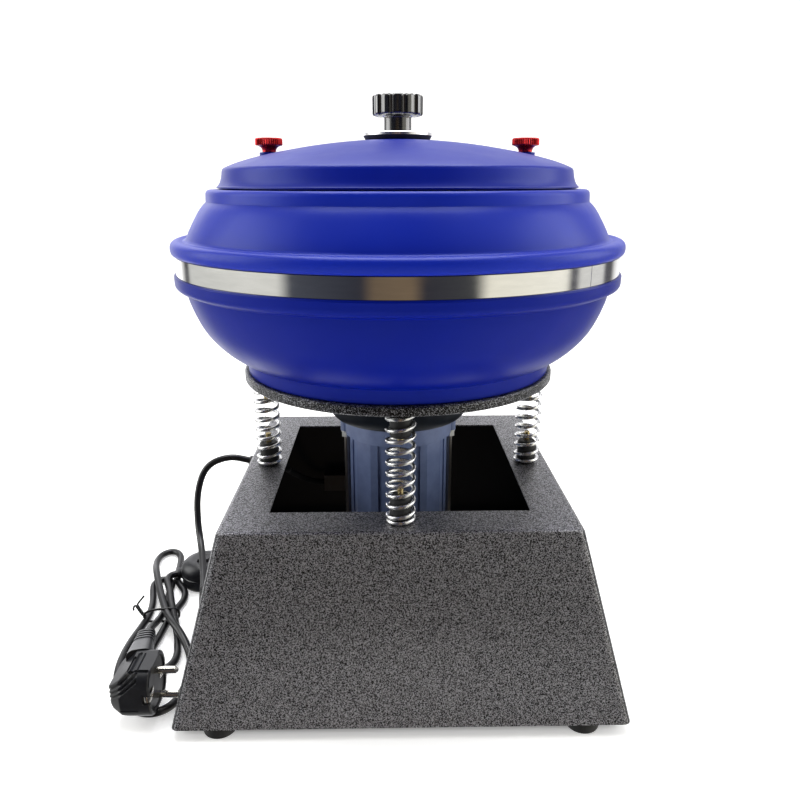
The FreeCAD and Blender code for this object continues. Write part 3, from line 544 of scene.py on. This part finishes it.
# ------------------------------------------------------------------ rolled rim of the plate
def plate_rim():
    base = [(109.9, 204.9), (110.6, 204.5), (111.5, 204.5), (112.2, 205.0), (112.5, 206.0), (112.5, 207.6), (112.4, 209.2), (112.1, 210.4), (111.4, 211.0), (110.4, 211.2), (109.8, 210.9), (109.8, 207.0)]

    def rough(i, j, a, r, h):
        if r < 110.3:
            return r, h
        w = 0.12 * math.sin(23 * a + 0.7 * i) + 0.10 * math.sin(57 * a + 1.9 * i) + 0.08 * math.sin(131 * a + 2.3 * i) + 0.06 * math.sin(211 * a - 1.1 * i)
        v = 0.10 * math.sin(41 * a + 1.3 * i) + 0.07 * math.sin(97 * a)
        return r + w - 0.15, h + v * (1 if h > 207 else 0.4)
    bm = bmesh.new()
    lathe(bm, base, 720, mod=rough)
    return obj_from("plate_rolled_rim", bm, 60)


finish_piece(plate_rim(), "plate", "platform", slot="hammertone_grey")


# ------------------------------------------------------------------ plug
PLUG_C = (-119.2, 23.0)
XF, XB = -161.4, -188.6


def plug_shell():
    """Moulded body: round with flats above and below, wedge-shaped back, slanted grip ribs, ribbed neck."""
    prof = [(0.0, XB), (5.0, XB), (10.0, XB), (12.6, XB + 0.1), (13.4, XB + 0.6), (13.8, XB + 1.2)]
    x = XB + 1.8
    while x < XF - 1.4:
        prof.append((min(13.6 + (x - XB) * 0.585, 18.2), x))
        x += 0.45
    prof += [(18.2, XF - 1.2), (17.9, XF - 0.5), (17.2, XF), (15.8, XF), (15.4, XF - 0.9), (14.6, XF - 1.0), (6.0, XF - 1.0), (0.0, XF - 1.0)]

    def shape(i, j, a, r, h):
        sn, cs = math.sin(a), math.cos(a)
        top = min(17.0, 7.0 + (h - XB) * 10.0 / 12.2)
        low = min(17.0, 8.0 + (h - XB) * 9.0 / 17.0)
        if r > 9.0:
            r *= (abs(sn) ** 3.0 + abs(cs) ** 3.0) ** (-1 / 3.0)
        if sn * r > top:
            r = top / sn
        elif -sn * r > low:
            r = -low / sn
        z = r * sn
        if r < 10.0 or h > XF - 0.9 and r < 16:
            return r, h
        # grip ribs parallel to the wedge's edge
        d = -0.634 * (h - XB) + 0.773 * (z - 7.0)
        if z > -9.0 and cs * r < 8.0 and h < XF - 8.0:
            for g in (-2.2, -4.8, -7.4):
                if abs(d - g) < 0.95:
                    r -= 1.25 * (1 - (abs(d - g) / 0.95) ** 2)
        # ledge under the thumb pad and the lower edge line
        if z > 12.0 and XF - 14.0 < h < XF - 1.4 and abs(cs * r + 10.6) < 1.0:
            r -= 1.5 * (1 - (abs(cs * r + 10.6) / 1.0) ** 2)
        if z > 12.0 and abs(h - XF + 14.0) < 0.7 and -10.6 < cs * r < 4.0:
            r -= 1.2
        if XF - 20.0 < h < XF - 8.0 and abs(z + 8.6) < 0.5 and cs < 0:
            r -= 1.1
        # recess of the side earthing contact
        if h > XF - 4.4 and abs(z) < 3.4 and abs(cs) > 0.8:
            r = min(r, 16.6 / abs(cs))
        return r, h
    bm = bmesh.new()
    lathe(bm, prof, 260, centre=PLUG_C, axis="x", mod=shape)
    nb, ne = Vector((-175.4, -110.5, 34.6)), Vector((-187.9, -60.4, 17.8))
    # flattened neck, oval in section, with four raised ribs near the cord
    d = (ne - nb).normalized()
    side = d.cross(Vector((0, 0, 1))).normalized()
    upn = side.cross(d)
    n, m = 170, 40
    rows = []
    for k in range(n + 1):
        t = k / n
        c = nb.lerp(ne, t)
        w = 8.3 + (6.2 - 8.3) * smooth01(t * 1.1)
        h = 6.6 + (5.2 - 6.6) * t
        if 0.52 < t < 0.965:
            q = ((t - 0.52) / 0.1112) % 1.0
            e = 0.55 if q < 0.56 else -0.95
            w += e * 0.6
            h += e
        if t > 0.98:
            w, h = w - 0.8, h - 0.8
        row = []
        for i in range(m):
            a = 2 * math.pi * i / m
            ca, sa = math.cos(a), math.sin(a)
            row.append(bm.verts.new((c + side * w * math.copysign(abs(ca) ** 0.6, ca) + upn * h * math.copysign(abs(sa) ** 0.6, sa)) * MM))
        rows.append(row)
    for a, b in zip(rows, rows[1:]):
        for i in range(m):
            k = (i + 1) % m
            bm.faces.new((a[i], a[k], b[k], b[i]))
    bm.faces.new(list(reversed(rows[0])))
    bm.faces.new(rows[-1])
    return obj_from("moulded_plug", bm, 34)


finish_piece(plug_shell(), "plastic", "base", "plug_body", slot="plastic_black")


def earth_contacts():
    """A sprung strip on each side of the plug, folded over the edge of its face."""
    bm = bmesh.new()
    for sg in (-1, 1):
        path = [(XF - 4.0, 16.6), (XF - 3.4, 17.0), (XF - 2.6, 17.3), (XF - 1.8, 17.4), (XF - 1.2, 17.2), (XF - 0.4, 16.8), (XF - 0.1, 16.2), (XF - 0.05, 15.0), (XF - 0.1, 13.4), (XF - 0.3, 11.0), (XF - 0.6, 8.6), (XF - 1.05, 6.4)]
        rows = []
        for k, (x, o) in enumerate(path):
            a, b = path[max(k - 1, 0)], path[min(k + 1, len(path) - 1)]
            tx, to = b[0] - a[0], b[1] - a[1]
            ln = math.hypot(tx, to)
            nx, no = -to / ln, tx / ln
            row = []
            for dz, lift in ((-2.3, -0.3), (-2.3, 0.15), (-1.9, 0.35), (1.9, 0.35), (2.3, 0.15), (2.3, -0.3)):
                row.append(bm.verts.new(((x + nx * lift) * MM, (PLUG_C[0] + sg * (o + no * lift)) * MM, (PLUG_C[1] + dz) * MM)))
            rows.append(row)
        for a, b in zip(rows, rows[1:]):
            for j in range(6):
                k = (j + 1) % 6
                bm.faces.new((a[j], a[k], b[k], b[j]))
        bm.faces.new(list(reversed(rows[0])))
        bm.faces.new(rows[-1])
    return obj_from("earth_contacts", bm, 30)


finish_piece(earth_contacts(), "nickel", "base", slot="nickel")


# ------------------------------------------------------------------ switch boots and wire tie
def boot_ribs():
    bm = bmesh.new()
    for p, d, r0, r1, ln in (((-186.5, 42.8, 9.0), (-0.97, -0.243, 0.0), 5.4, 4.0, 8.0), ((-158.4, 13.0, 9.0), (-0.1, 0.87, 0.20), 3.9, 5.4, 13.0)):
        d = Vector(d).normalized()
        count = 3 if ln < 9 else 4
        for k in range(count):
            t = (k + 0.7) / (count + 0.4)
            c = Vector(p) + d * ln * t
            r = r0 + (r1 - r0) * t
            ref = Vector((0, 0, 1))
            u = (ref - d * ref.dot(d)).normalized()
            v = d.cross(u)
            ring = []
            for q in range(32):
                a = 2 * math.pi * q / 32
                out = u * math.cos(a) + v * math.sin(a)
                ring.append([bm.verts.new((c + out * (r + rr) + d * dd) * MM) for rr, dd in ((-0.6, -0.85), (0.25, -0.7), (0.55, -0.3), (0.55, 0.3), (0.25, 0.7), (-0.6, 0.85))])
            for q in range(32):
                a, b = ring[q], ring[(q + 1) % 32]
                for j in range(6):
                    k2 = (j + 1) % 6
                    bm.faces.new((a[j], a[k2], b[k2], b[j]))
    return obj_from("boot_ribs", bm, 40)


finish_piece(boot_ribs(), "plastic", "base", slot="plastic_black")


def wire_tie():
    bm = bmesh.new()
    pts = []
    for k in range(61):
        a = math.radians(188) + 2 * math.pi * k / 60 * 0.985
        c, sn = math.cos(a), math.sin(a)
        pts.append((-190.9 + 13.4 * math.copysign(abs(c) ** 0.62, c), -18.6 + 2.2 * c + 0.6 * math.sin(2 * a) + 0.6 * (k / 60 - 0.5), 6.5 + 5.6 * math.copysign(abs(sn) ** 0.7, sn)))
    sweep(bm, pts, 0.95, 10)
    axis = catmull([(-203.4, -20.4, 7.0), (-205.2, -19.6, 8.4), (-207.4, -18.2, 10.2), (-209.4, -16.8, 12.2), (-210.6, -15.8, 13.4)], 10)
    for ph in (0.0, math.pi):
        line = []
        for i, q in enumerate(axis):
            a = ph + 2 * math.pi * 3.2 * i / (len(axis) - 1)
            t = Vector(axis[min(i + 1, len(axis) - 1)]) - Vector(axis[max(i - 1, 0)])
            t.normalize()
            u = Vector((0, 0, 1)).cross(t).normalized()
            v = t.cross(u)
            line.append(tuple(Vector(q) + (u * math.cos(a) + v * math.sin(a)) * 0.85))
        end = Vector(line[-1])
        if ph == 0.0:
            line += catmull([tuple(end), (-210.2, -14.6, 15.0), (-208.4, -12.0, 17.0), (-206.6, -9.6, 18.8)], 5)[1:]
        else:
            line += catmull([tuple(end), (-212.4, -16.0, 13.8), (-213.4, -17.0, 12.2), (-212.8, -18.0, 10.8)], 5)[1:]
        sweep(bm, line, 0.75, 10)
    return obj_from("twist_tie", bm, 60)


finish_piece(wire_tie(), "cord", "base", "wire_tie", slot="cord_black")

# ------------------------------------------------------------------ cords in place
lead = cord_curve("supply_lead", LEAD, CORD_D)
finish_piece(lead, "cord", "base", "cord_lead", slot="cord_black")
hank = cord_curve("plug_lead", HANK, CORD_D)
finish_piece(hank, "cord", "base", "cord_hank", slot="cord_black")


# ------------------------------------------------------------------ floor and light
def floor():
    """A pale floor that sweeps up into a wall far behind."""
    bm = bmesh.new()
    path = [(-6.0, 0.0), (-3.0, 0.0), (-1.5, 0.0), (-0.7, 0.0), (0.0, 0.0), (0.7, 0.0), (1.4, 0.0)]
    path += [(1.4 + 1.2 * math.sin(a), 1.2 - 1.2 * math.cos(a)) for a in [math.radians(9 * k) for k in range(1, 11)]]
    path += [(2.6, 2.4), (2.6, 4.5)]
    rows = [[bm.verts.new((-5 + 10 * i / 20, y, z)) for i in range(21)] for y, z in path]
    for a, b in zip(rows, rows[1:]):
        for i in range(20):
            bm.faces.new((a[i], a[i + 1], b[i + 1], b[i]))
    ob = obj_from("floor", bm, 60)
    m, t, p, vec = nt("floor_white")
    f = noise(t, vec, 6.0)
    t.links.new(ramp(t, f, [(0.3, (0.90, 0.90, 0.90)), (0.7, (0.92, 0.92, 0.92))]), p.inputs["Base Color"])
    setp(p, rough=0.9, spec=0.1)
    p.inputs["Emission Color"].default_value = (1, 1, 1, 1)
    p.inputs["Emission Strength"].default_value = 0.44
    # emission drops to zero within the base's footprint: a painted shadow on the floor under the base
    sep = t.nodes.new("ShaderNodeSeparateXYZ")
    t.links.new(vec, sep.inputs[0])
    far = math2(t, "MAXIMUM", math2(t, "ABSOLUTE", sep.outputs["X"], 0.0), math2(t, "ABSOLUTE", sep.outputs["Y"], 0.0))
    t.links.new(rng(t, far, 0.0, 0.44, 0.134, 0.142), p.inputs["Emission Strength"])
    ob.data.materials.append(m)
    ob.visible_glossy = False


floor()


def area(name, loc, aim, sx, sy, power, col=(1, 1, 1)):
    d = bpy.data.lights.new(name, "AREA")
    d.shape = "RECTANGLE"
    d.size, d.size_y = sx, sy
    d.energy = power
    d.color = col
    ob = bpy.data.objects.new(name, d)
    scene.collection.objects.link(ob)
    ob.location = loc
    ob.rotation_euler = (Vector(aim) - Vector(loc)).to_track_quat("-Z", "Y").to_euler()
    return ob


area("top_box", (0.0, 0.35, 1.7), (0, 0.05, 0.3), 1.4, 1.1, 31.0)
area("left_box", (-1.35, -0.05, 0.75), (0, 0, 0.25), 1.0, 1.2, 11.0)
low = area("floor_bounce", (0.07, -0.44, 0.012), (0.06, -0.15, 0.006), 0.42, 0.03, 0.0085)
low.data.spread = math.radians(28)
area("right_box", (1.35, 0.05, 0.75), (0, 0, 0.25), 1.0, 1.2, 10.0)

world = bpy.data.worlds.new("studio")
scene.world = world
world.use_nodes = True
wt = world.node_tree
wt.nodes.clear()
wo = wt.nodes.new("ShaderNodeOutputWorld")
bg_cam = wt.nodes.new("ShaderNodeBackground")
bg_cam.inputs["Color"].default_value = (1, 1, 1, 1)
bg_cam.inputs["Strength"].default_value = 1.0
bg = wt.nodes.new("ShaderNodeBackground")
lp = wt.nodes.new("ShaderNodeLightPath")
mix = wt.nodes.new("ShaderNodeMixShader")
tcw = wt.nodes.new("ShaderNodeTexCoord")
sep = wt.nodes.new("ShaderNodeSeparateXYZ")
wt.links.new(tcw.outputs["Generated"], sep.inputs[0])
neg = math2(wt, "MULTIPLY", sep.outputs["Y"], -1.0)
ang = math2(wt, "ARCTAN2", sep.outputs["X"], neg)
frac = rng(wt, ang, 0.0, 1.0, -math.pi, math.pi)


def az(deg):
    return (deg / 180.0 + 1.0) / 2.0


WALLS = [(-180, (0.72, 0.73, 0.76)), (-172, (0.9, 0.9, 0.93)), (-160, (2.0, 2.0, 2.05)), (-142, (2.0, 2.0, 2.05)), (-136, (0.9, 0.9, 0.9)), (-131, (0.10, 0.10, 0.11)), (-128, (0.10, 0.10, 0.11)), (-125, (0.72, 0.73, 0.71)), (-60, (0.84, 0.84, 0.80)),
         (-53, (0.075, 0.082, 0.105)), (-18, (0.035, 0.037, 0.052)), (-12, (0.17, 0.125, 0.085)), (6, (0.20, 0.145, 0.095)), (12, (0.038, 0.038, 0.050)),
         (36, (0.058, 0.060, 0.066)), (43, (1.02, 0.99, 0.86)), (88, (1.08, 1.06, 0.96)), (92, (0.08, 0.08, 0.10)), (95, (0.08, 0.08, 0.10)), (99, (0.80, 0.80, 0.78)),
         (120, (0.80, 0.80, 0.80)), (124, (0.10, 0.10, 0.12)), (132, (0.12, 0.12, 0.13)), (138, (0.9, 0.9, 0.9)), (143, (1.2, 1.2, 1.22)), (160, (1.2, 1.2, 1.22)), (172, (0.9, 0.9, 0.93)), (180, (0.72, 0.73, 0.76))]
walls = ramp(wt, frac, [(az(d), c) for d, c in WALLS])
wt.links.new(walls, bg.inputs["Color"])
bg.inputs["Strength"].default_value = 0.9
wt.links.new(lp.outputs["Is Camera Ray"], mix.inputs["Fac"])
wt.links.new(bg.outputs["Background"], mix.inputs[1])
wt.links.new(bg_cam.outputs["Background"], mix.inputs[2])
wt.links.new(mix.outputs["Shader"], wo.inputs["Surface"])

scene.view_settings.view_transform = "Standard"
